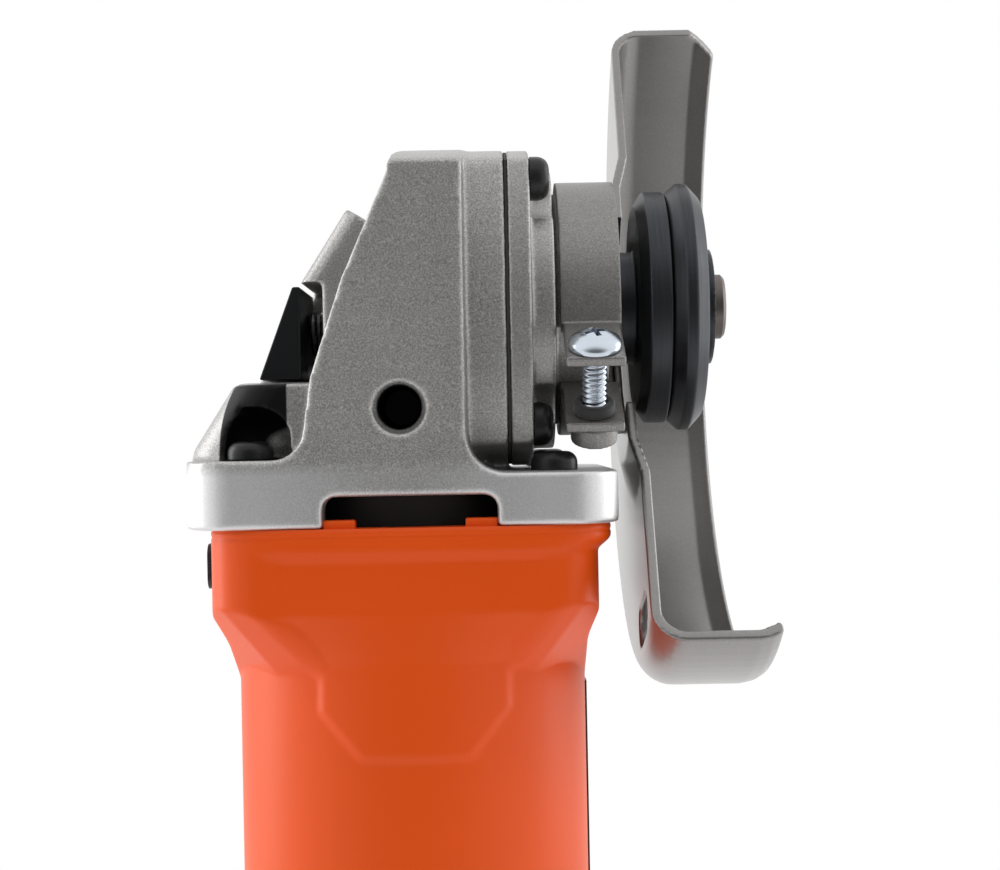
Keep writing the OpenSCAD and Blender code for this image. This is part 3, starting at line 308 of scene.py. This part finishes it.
NODE_MATERIAL = {
    "gear_housing": CAST, "bearing_cover": COVER, "gear_case_gasket": GASKET,
    "cover_screws": SCREW, "flange_screws": SCREW, "handle_screws": SCREW,
    "bearing_retainer": GEAR, "spindle": WORN_STEEL, "crown_gear": GEAR, "gear_circlip": GEAR,
    "spindle_bush": BRONZE, "spindle_bearing_outer": STEEL_X, "spindle_bearing_inner": STEEL_X,
    "spindle_bearing_balls": STEEL_X, "spindle_seal": FELT, "inner_flange": OXIDE,
    "lock_nut": OXIDE, "wheel_guard": GUARD, "guard_band": BAND, "clamp_screw": ZINC,
    "clamp_ring": RUBBER, "lock_button": BUTTON, "lock_pin": GEAR, "lock_spring": STEEL_X,
    "motor_housing": ORANGE, "fan_baffle": BLACK, "bearing_plate": GEAR,
    "stator_core": LAMINATION, "field_coils": COPPER, "armature_shaft": STEEL_Z,
    "armature_core": LAMINATION, "armature_windings": COPPER, "commutator": COPPER,
    "fan": BLACK, "pinion": GEAR, "front_bearing_outer": STEEL_Z, "front_bearing_inner": STEEL_Z,
    "front_bearing_balls": STEEL_Z, "rear_bearing_outer": STEEL_Z, "rear_bearing_inner": STEEL_Z,
    "rear_bearing_balls": STEEL_Z, "bearing_boot": RUBBER, "brush_holders": BRASS,
    "carbon_brushes": CARBON, "brush_springs": STEEL_X, "brush_caps": BLACK,
    "switch_knob": BLACK, "switch_rod": STEEL_Z, "switch_lever": BLACK, "switch_body": BLACK,
    "capacitor": CAPACITOR, "terminal_block": IVORY, "handle_left": BLACK,
    "handle_right": BLACK, "cord_gland": RUBBER, "cord_clamp": BLACK,
    "cord_clamp_screws": ZINC, "rating_label": LABEL, "badge": LABEL,
}


def paint(obj, material):
    obj.data.materials.clear()
    obj.data.materials.append(material)


for node_name, material in NODE_MATERIAL.items():
    paint(frame["nodes"][node_name], material)


# ---- Mesh helpers ----

def mesh_object(name, verts, faces, material, smooth=True):
    mesh = bpy.data.meshes.new(name)
    mesh.from_pydata([tuple(v) for v in verts], [], faces)
    mesh.validate()
    mesh.update()
    obj = bpy.data.objects.new(name, mesh)
    bpy.context.scene.collection.objects.link(obj)
    mesh.materials.append(material)
    if smooth:
        mesh.polygons.foreach_set("use_smooth", [True] * len(mesh.polygons))
    return obj


def stand_for(obj, node, body):
    """The piece takes the place of one CAD node and rides on its body."""
    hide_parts(node)
    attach(obj, body)
    return obj


def soften(obj, voxel, rounds, factor=0.5):
    """Rounds every edge of a cast or pressed shape: a fine remesh, then smoothing."""
    remesh = obj.modifiers.new("remesh", "REMESH")
    remesh.mode = "VOXEL"
    remesh.voxel_size = voxel
    remesh.use_smooth_shade = True
    smooth = obj.modifiers.new("smooth", "SMOOTH")
    smooth.factor = factor
    smooth.iterations = rounds


# Voxel size in millimetres and rounds of smoothing
ROUNDED = {
    "gear_housing": (0.45, 6), "bearing_cover": (0.35, 4), "guard_band": (0.22, 5),
    "wheel_guard": (0.32, 4), "lock_button": (0.18, 8), "inner_flange": (0.22, 3),
    "lock_nut": (0.22, 3), "flange_screws": (0.14, 3), "cover_screws": (0.14, 3),
    "handle_screws": (0.14, 3), "switch_knob": (0.2, 5), "handle_left": (0.4, 3),
    "handle_right": (0.4, 3), "brush_caps": (0.2, 3), "cord_gland": (0.25, 3),
}
for node_name, (voxel, rounds) in ROUNDED.items():
    soften(frame["nodes"][node_name], voxel * MM, rounds)


def angles(sides):
    return [2 * math.pi * k / sides for k in range(sides)]


def stacked(name, rows, material):
    """A closed solid with flat ends from rings of (x, y, z) vertices in millimetres."""
    count, sides = len(rows), len(rows[0])
    faces = []
    for i in range(count - 1):
        a, b = i * sides, (i + 1) * sides
        faces += [(a + k, a + (k + 1) % sides, b + (k + 1) % sides, b + k) for k in range(sides)]
    faces.append(tuple(reversed(range(sides))))
    top = (count - 1) * sides
    faces.append(tuple(range(top, top + sides)))
    return mesh_object(name, [Vector(v) * MM for row in rows for v in row], faces, material)


def turned_piece(name, sections, material, sides=96):
    """A lathe shape about local +Z. sections are (radius, z) in millimetres."""
    rows = [[(r * math.cos(a), r * math.sin(a), z) for a in angles(sides)] for r, z in sections]
    return stacked(name, rows, material)


def carved(obj, cutters):
    """Cuts the closed shapes out of the piece for good, and removes them."""
    for cutter in cutters:
        cut = obj.modifiers.new("cut", "BOOLEAN")
        cut.operation = "DIFFERENCE"
        cut.solver = "EXACT"
        cut.object = cutter
    bpy.context.view_layer.update()
    result = bpy.data.meshes.new_from_object(obj.evaluated_get(bpy.context.evaluated_depsgraph_get()))
    obj.modifiers.clear()
    old, obj.data = obj.data, result
    bpy.data.meshes.remove(old)
    for cutter in cutters:
        bpy.data.objects.remove(cutter)
    return obj


def block(name, low, high):
    """A box-shaped cutter between two corners in millimetres."""
    (x0, y0, z0), (x1, y1, z1) = low, high
    corners = ((x0, y0), (x1, y0), (x1, y1), (x0, y1))
    verts = [Vector((x, y, z)) * MM for z in (z0, z1) for x, y in corners]
    faces = [(3, 2, 1, 0), (4, 5, 6, 7), (0, 1, 5, 4), (1, 2, 6, 5), (2, 3, 7, 6), (3, 0, 4, 7)]
    return mesh_object(name, verts, faces, BLACK, False)


def rod(name, radius, low, high, turn=Matrix.Identity(4), sides=64):
    """A round cutter about local +Z, placed by turn."""
    obj = turned_piece(name, [(radius, low), (radius, high)], BLACK, sides)
    obj.data.transform(turn)
    return obj


def crease(obj, degrees=35):
    """Smooth shading with sharp edges kept."""
    obj.data.set_sharp_from_angle(angle=math.radians(degrees))


# ---- Motor housing ----

COLLAR_HALF = 31.0
GRIP_R = 29.2
CAVITY_R = 26.8
SQUARENESS = 7.0
LIP = 2.1
FACET_NORMALS = (33, 57)
FACET_TOP = 13.2
FACET_START = 38.2
FACET_SLOPE = 0.94
SIDE_SLOPE = (12.0, 20.0)
PANEL_HALF = 30.15
PANEL_LOW_R = 29.75
PANEL_SLOPE = (13.4, 21.4)
OUTER_SHIELD = [(-23, 3.4), (26.3, 3.7), (26.1, 12.6), (16.8, 23.8), (16.7, 28.8), (10.4, 36.7),
                (-7.2, 36.6), (-13.9, 29.1), (-13.8, 24.2), (-23.1, 13.4)]
INNER_SHIELD = [(-19.2, 5.4), (21.6, 5.2), (21.4, 12.9), (15.4, 21.7), (15.5, 28.3), (9.7, 35.3),
                (-6.5, 35.2), (-12.5, 28.4), (-12.3, 21.3), (-18.7, 13.4)]


def polygon_distance(px, pz, points):
    """Distance from each point to a closed outline, and whether it is inside. px and pz are arrays."""
    dist = np.full(px.shape, 1e9)
    inside = np.zeros(px.shape, bool)
    for (ax, az), (bx, bz) in zip(points, points[1:] + points[:1]):
        ex, ez = bx - ax, bz - az
        t = np.clip(((px - ax) * ex + (pz - az) * ez) / (ex * ex + ez * ez), 0, 1)
        dist = np.minimum(dist, np.hypot(px - ax - t * ex, pz - az - t * ez))
        crosses = (az > pz) != (bz > pz)
        safe = np.where(crosses, bz - az, 1)
        inside ^= crosses & (px < ax + (pz - az) / safe * ex)
    return dist, inside


def rounded_square(ct, st, half_x, half_y):
    """Radius of a soft-cornered square in each direction."""
    return (np.abs(ct / half_x) ** SQUARENESS + np.abs(st / half_y) ** SQUARENESS) ** (-1 / SQUARENESS)


def ease(t):
    t = np.clip(t, 0, 1)
    return t * t * (3 - 2 * t)


def housing_radius(theta, depth):
    """Outer radius of the motor housing in millimetres, by direction and depth below the joint."""
    ct, st = np.cos(theta), np.sin(theta)
    lip = LIP * (1 - ease((depth - 2.2) / 2.4)) * (ct > 0)
    collar = rounded_square(ct, st, COLLAR_HALF + lip, COLLAR_HALF)
    limit = FACET_START - FACET_SLOPE * (depth - FACET_TOP)
    for deg in FACET_NORMALS:
        a = math.radians(deg)
        reach = np.maximum(np.abs(ct) * math.cos(a) + np.abs(st) * math.sin(a), 1e-6)
        collar = np.minimum(collar, limit / reach)
    drop = ease((depth - SIDE_SLOPE[0]) / (SIDE_SLOPE[1] - SIDE_SLOPE[0])) * (COLLAR_HALF - GRIP_R)
    collar = np.minimum(collar, (COLLAR_HALF + lip - drop) / np.maximum(np.abs(ct), 1e-6))
    switch_side = (COLLAR_HALF - drop) / np.maximum(st, 1e-6)
    collar = np.where(st > 0, np.minimum(collar, switch_side), collar)
    outer = np.maximum(collar, GRIP_R)
    fall = np.clip((depth - PANEL_SLOPE[0]) / (PANEL_SLOPE[1] - PANEL_SLOPE[0]), 0, 1)
    panel = rounded_square(ct, st, PANEL_HALF, PANEL_HALF) * (1 - fall) + PANEL_LOW_R * fall
    x = outer * ct
    to_outer, in_outer = polygon_distance(x, depth, OUTER_SHIELD)
    to_inner, in_inner = polygon_distance(x, depth, INNER_SHIELD)
    share = np.where(in_inner, 1, np.where(in_outer, to_outer / (to_outer + to_inner + 1e-9), 0))
    share = np.where(st < -0.5, share, 0)
    below = np.where(in_outer | in_inner | (st > -0.5), outer, np.where(depth > 24, GRIP_R, outer))
    return below * (1 - share) + panel * share


def blurred(grid, rounds):
    """Softens creases: averages with neighbours round the ring and along it."""
    for _ in range(rounds):
        grid = 0.5 * grid + 0.25 * (np.roll(grid, 1, 1) + np.roll(grid, -1, 1))
        inner = 0.5 * grid[1:-1] + 0.25 * (grid[2:] + grid[:-2])
        grid = np.vstack([grid[:1], inner, grid[-1:]])
    return grid


def ring_mesh(name, rows, material):
    """A closed tube from rows of vertices. Each row is an array of (x, y, z) in millimetres."""
    count, sides = len(rows), len(rows[0])
    verts = np.vstack(rows) * MM
    faces = []
    for i in range(count):
        a, b = i * sides, (i + 1) % count * sides
        faces += [(a + k, b + k, b + (k + 1) % sides, a + (k + 1) % sides) for k in range(sides)]
    return mesh_object(name, verts, faces, material)


SHELL_SIDES = 480
RELIEF_STEP = 0.33
RELIEF_END = 39
PLAIN_STEP = 3
END_ROUND = 0.6
TOP_DRAW = 0.35
END_DRAW = 0.4
SEAM_DEPTH = 1.32
SEAM_HALF = 0.22
SEAM_CUT = 0.16
CAP_HOLE_R = 7.0
SWITCH_SLOT_HALF = 3.6
SWITCH_SLOT_Z = (4, 26)
SPIDER_RISE = 4.6
SPIDER_T = 9.8
SPIDER_BORE_R = 12.5
AIR_HOLE_R = 4.6
AIR_HOLE_ORBIT = 19.6
AIR_HOLES = 8
ROD_IN = 23.0
TAB_LEFTS = (-12.1, 9.9)
TAB_W = 5
TAB_IN = 4
TAB_OUT = 1
TAB_BELOW = 1
TAB_RISE = 1.3


def make_motor_housing():
    """The housing's outer wall with its relief, brush cap holes and switch slot."""
    joint, length = JOINT_Z / MM, (JOINT_Z - HOUSING_LOW) / MM
    theta = np.linspace(0, 2 * math.pi, SHELL_SIDES, endpoint=False)
    depths = np.concatenate([np.arange(0, RELIEF_END, RELIEF_STEP),
                             np.arange(RELIEF_END + 1, length, PLAIN_STEP),
                             [length - END_ROUND, length]])
    tt, dd = np.meshgrid(theta, depths)
    radius = blurred(housing_radius(tt, dd), 1)
    radius -= TOP_DRAW * (1 - ease(dd / END_ROUND))
    radius -= SEAM_CUT * np.exp(-((dd - SEAM_DEPTH) / SEAM_HALF) ** 2)
    radius -= END_DRAW * ease((dd - length + END_ROUND) / END_ROUND)

    def ring(r, depth):
        z = np.full(SHELL_SIDES, joint - depth)
        return np.column_stack([r * np.cos(theta), r * np.sin(theta), z])

    rows = [ring(r, d) for r, d in zip(radius, depths)] + [ring(CAVITY_R, d) for d in (length, 0)]
    shell = ring_mesh("motor_shell", rows, ORANGE)
    cap_low, cap_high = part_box("brush_caps")
    knob_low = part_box("switch_knob")[0].z / MM
    slot_low, slot_high = (knob_low + z for z in SWITCH_SLOT_Z)
    cap_centre = Matrix.Translation((0, 0, (cap_low.z + cap_high.z) / 2))
    across = cap_centre @ Matrix.Rotation(math.radians(90), 4, "Y")
    cutters = [rod("cap_hole", CAP_HOLE_R, -40, 40, across),
               block("switch_slot", (-SWITCH_SLOT_HALF, CAVITY_R - 3, slot_low),
                     (SWITCH_SLOT_HALF, CAVITY_R + 5, slot_high))]
    carved(shell, cutters)
    crease(shell, 50)
    return shell


def make_spider():
    """The web behind the commutator that carries the rear bearing, with its air holes."""
    low = HOUSING_LOW / MM + SPIDER_RISE
    top, rim = low + SPIDER_T, CAVITY_R + 0.4
    web = turned_piece("motor_spider", [(rim, low), (rim, top)], ORANGE)
    holes = [rod("bearing_seat", SPIDER_BORE_R, low - 1, top + 1)]
    for k in range(AIR_HOLES):
        a = 2 * math.pi * (k + 0.5) / AIR_HOLES
        centre = Vector((math.cos(a), math.sin(a), 0)) * AIR_HOLE_ORBIT * MM
        holes.append(rod("air_hole", AIR_HOLE_R, low - 1, top + 1, Matrix.Translation(centre), 32))
    holes.append(block("rod_way", (-SWITCH_SLOT_HALF, ROD_IN, low - 1),
                       (SWITCH_SLOT_HALF, CAVITY_R, top + 1)))
    carved(web, holes)
    crease(web)
    return web


def make_window_tabs():
    """Low tabs that rise into the corners of both exhaust windows."""
    joint = JOINT_Z / MM
    verts, faces = [], []
    for left in TAB_LEFTS:
        for side in (-1, 1):
            y0, y1 = sorted((side * (COLLAR_HALF - TAB_IN), side * (COLLAR_HALF - TAB_OUT)))
            box = block("tab", (left, y0, joint - TAB_BELOW), (left + TAB_W, y1, joint + TAB_RISE))
            faces += [tuple(k + len(verts) for k in f.vertices) for f in box.data.polygons]
            verts += [v.co.copy() for v in box.data.vertices]
            bpy.data.objects.remove(box)
    tabs = mesh_object("window_tabs", verts, faces, ORANGE)
    bevel = tabs.modifiers.new("bevel", "BEVEL")
    bevel.width = 0.35 * MM
    bevel.segments = 3
    crease(tabs, 60)
    return tabs


motor_shell = stand_for(make_motor_housing(), "motor_housing", "housing")
motor_spider = stand_for(make_spider(), "motor_housing", "housing")
window_tabs = stand_for(make_window_tabs(), "motor_housing", "housing")

# ---- Clamp screw ----

CLAMP_SEAT = 6.44
SHANK_R = 1.95
THREAD_PITCH = 0.9
THREAD_CUT = 0.32
THREAD_TOP = -1.2
SCREW_TIP = -16.9
HEAD_PROFILE = [(SHANK_R, THREAD_TOP), (SHANK_R, -0.5), (2.0, 0.0), (3.9, 0.0), (4.15, 0.12),
                (4.2, 0.35), (4.2, 0.75), (4.12, 1.0), (3.9, 1.3), (3.5, 1.66), (3.0, 2.0),
                (2.4, 2.3), (1.7, 2.53), (0.9, 2.66), (0.2, 2.7)]
CROSS_LOW = (-2.3, -0.5, 1.0)
CROSS_HIGH = (2.3, 0.5, 4.0)
CROSS_TURN = 20


def make_clamp_screw():
    """A pan head with a cross recess, a shoulder, and a rolled thread."""
    sides = 96
    turn = np.linspace(0, 2 * math.pi, sides, endpoint=False)
    rows = []
    z = SCREW_TIP + 0.05
    while z < THREAD_TOP:
        wave = np.abs(((z / THREAD_PITCH - turn / (2 * math.pi)) % 1) * 2 - 1)
        grow = min(1.0, (z - SCREW_TIP) / 1.2) * min(1.0, (THREAD_TOP - z) / 0.6)
        point = 0.25 * (1 - min(1.0, (z - SCREW_TIP) / 0.8))
        rows.append([(r * math.cos(t), r * math.sin(t), z)
                     for r, t in zip(SHANK_R - point - THREAD_CUT * ease(wave) * grow, turn)])
        z += THREAD_PITCH / 10
    rows += [[(r * math.cos(a), r * math.sin(a), z) for a in angles(sides)] for r, z in HEAD_PROFILE]
    screw = stacked("clamp_bolt", rows, ZINC)
    cutters = []
    for k in range(2):
        arm = block("cross_arm", CROSS_LOW, CROSS_HIGH)
        for v in arm.data.vertices:
            if v.co.z < 2 * MM:
                v.co.x *= 0.45
                v.co.y *= 0.7
        arm.data.transform(Matrix.Rotation(math.radians(90 * k + CROSS_TURN), 4, "Z"))
        cutters.append(arm)
    carved(screw, cutters)
    crease(screw, 40)
    return screw


clamp_bolt = make_clamp_screw()
clamp_bolt.data.transform(clamp_frame() @ Matrix.Translation((0, 0, CLAMP_SEAT * MM)))
stand_for(clamp_bolt, "clamp_screw", "clamp_screw")

# ---- Camera, floor and lights ----

VIEW_X = 14.7 * MM
VIEW_BELOW_SPINDLE = 21.2 * MM
VIEW_DISTANCE = 300 * MM
FOCAL_SHARE = 1.755
ROLL = math.radians(1.1)

camera_data = bpy.data.cameras.new("camera")
camera_data.sensor_width = 36
camera_data.lens = FOCAL_SHARE * camera_data.sensor_width
camera_data.shift_x = 0.005
camera_data.clip_start = 0.01
camera = bpy.data.objects.new("camera", camera_data)
camera.location = (VIEW_X, -VIEW_DISTANCE, SPINDLE_Z - VIEW_BELOW_SPINDLE)
upright = Matrix.Rotation(math.radians(90), 4, "X")
camera.rotation_euler = (upright @ Matrix.Rotation(-ROLL, 4, "Z")).to_euler()
bpy.context.scene.collection.objects.link(camera)
bpy.context.scene.camera = camera


def add_floor():
    """A pale round floor that fades out at its rim into the white surround."""
    mat, nodes, links, bsdf = new_material("pale_floor")
    bsdf.inputs["Base Color"].default_value = (0.86, 0.86, 0.86, 1)
    bsdf.inputs["Roughness"].default_value = 0.9
    length = nodes.new("ShaderNodeVectorMath")
    length.operation = "LENGTH"
    links.new(nodes.new("ShaderNodeTexCoord").outputs["Object"], length.inputs[0])
    fade = mapped(nodes, links, length.outputs["Value"], 1, 0, FLOOR_CLEAR_R, FLOOR_R * 0.97)
    links.new(fade, bsdf.inputs["Alpha"])
    sides = 96
    rim = [(FLOOR_R * math.cos(a), FLOOR_R * math.sin(a), FLOOR_Z) for a in angles(sides)]
    floor = mesh_object("floor", rim, [tuple(range(sides))], mat)


def add_world():
    """A white studio whose front, where the camera stands, is dimmer than its sides and back."""
    world = bpy.data.worlds.new("studio")
    world.use_nodes = True
    nodes, links = world.node_tree.nodes, world.node_tree.links
    back = nodes["Background"]
    split = nodes.new("ShaderNodeSeparateXYZ")
    links.new(nodes.new("ShaderNodeTexCoord").outputs["Generated"], split.inputs[0])
    share = mapped(nodes, links, split.outputs["Y"], 0, 1, -1, 1)
    dim = ramp(nodes, links, share, [(0.0, (FRONT_DIM,) * 3), (0.05, (FRONT_DIM * 1.6,) * 3),
                                     (0.2, (0.92,) * 3), (0.5, (1.0,) * 3)])
    links.new(dim, back.inputs["Color"])
    back.inputs["Strength"].default_value = 1.08
    white = nodes.new("ShaderNodeBackground")
    white.inputs["Color"].default_value = (1, 1, 1, 1)
    pick = nodes.new("ShaderNodeMixShader")
    links.new(nodes.new("ShaderNodeLightPath").outputs["Is Camera Ray"], pick.inputs["Fac"])
    links.new(back.outputs[0], pick.inputs[1])
    links.new(white.outputs[0], pick.inputs[2])
    links.new(pick.outputs[0], nodes["World Output"].inputs["Surface"])
    bpy.context.scene.world = world


def add_light(name, place, target, size, power, colour=(1, 1, 1)):
    data = bpy.data.lights.new(name, "AREA")
    data.shape = "RECTANGLE"
    data.size, data.size_y = size
    data.energy = power
    data.color = colour
    light = bpy.data.objects.new(name, data)
    light.location = place
    light.rotation_euler = (Vector(target) - Vector(place)).to_track_quat("-Z", "Y").to_euler()
    bpy.context.scene.collection.objects.link(light)


FLOOR_R = 0.6
FLOOR_CLEAR_R = 0.25
FLOOR_Z = -0.0005
FRONT_DIM = 0.13
HEAD = (0.01, 0, SPINDLE_Z - 0.02)

add_floor()
add_world()
add_light("left_box", (-0.7, 0.15, 0.35), HEAD, (0.3, 0.7), 2.2)
add_light("right_box", (0.75, 0.2, 0.35), HEAD, (0.3, 0.7), 1.6)
bpy.context.scene.view_settings.view_transform = "Standard"
